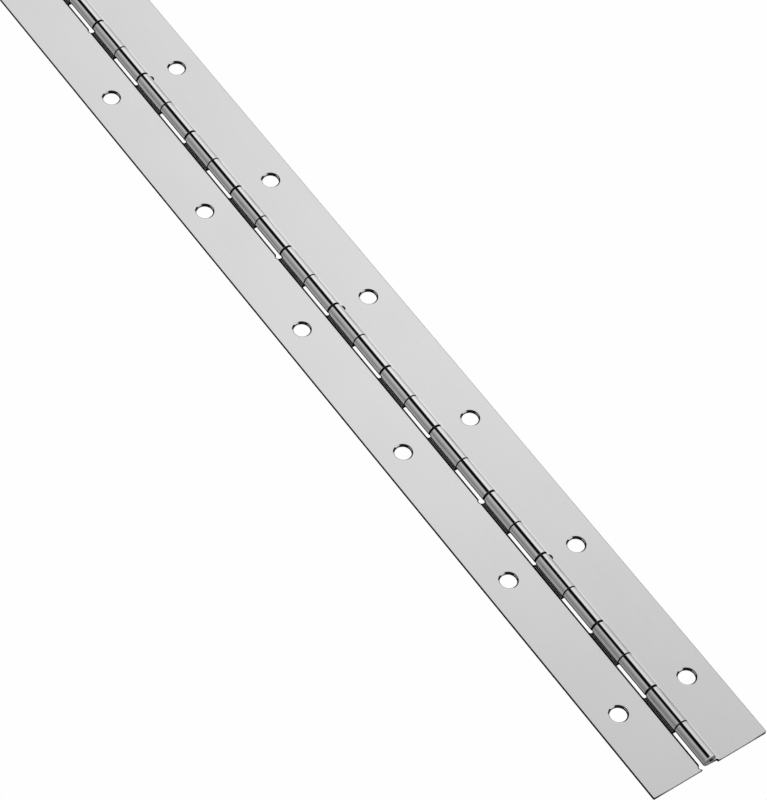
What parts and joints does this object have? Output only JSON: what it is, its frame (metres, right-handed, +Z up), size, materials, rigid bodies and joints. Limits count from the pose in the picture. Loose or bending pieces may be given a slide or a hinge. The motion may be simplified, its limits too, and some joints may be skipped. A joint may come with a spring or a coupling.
{
  "type": "piano hinge",
  "caption": "Continuous piano hinge lying open and flat: two perforated bright steel leaves with interleaved curled knuckles on one full-length wire pin.",
  "frame": {"origin": "on the plane the leaves' undersides lie on, under the middle of the hinge's length and width", "axes": "+X along the pin, towards the end whose barrel is set back, +Y towards the door leaf, +Z up, on the side where the knuckles stand proud"},
  "size_m": [0.6096, 0.0382, 0.0043],
  "materials": {
    "bright_plate": "bright plated sheet steel",
    "pin_wire": "drawn steel wire"
  },
  "bodies": {
    "frame_leaf": {"frame_leaf": "bright_plate"},
    "door_leaf": {"door_leaf": "bright_plate", "hinge_pin": "pin_wire"}
  },
  "joints": [
    {"name": "fold", "type": "hinge", "parent": "frame_leaf", "child": "door_leaf", "pos_m": [0, 0, 0.00215], "axis": [1, 0, 0], "range_deg": [-95, 186]}
  ]
}
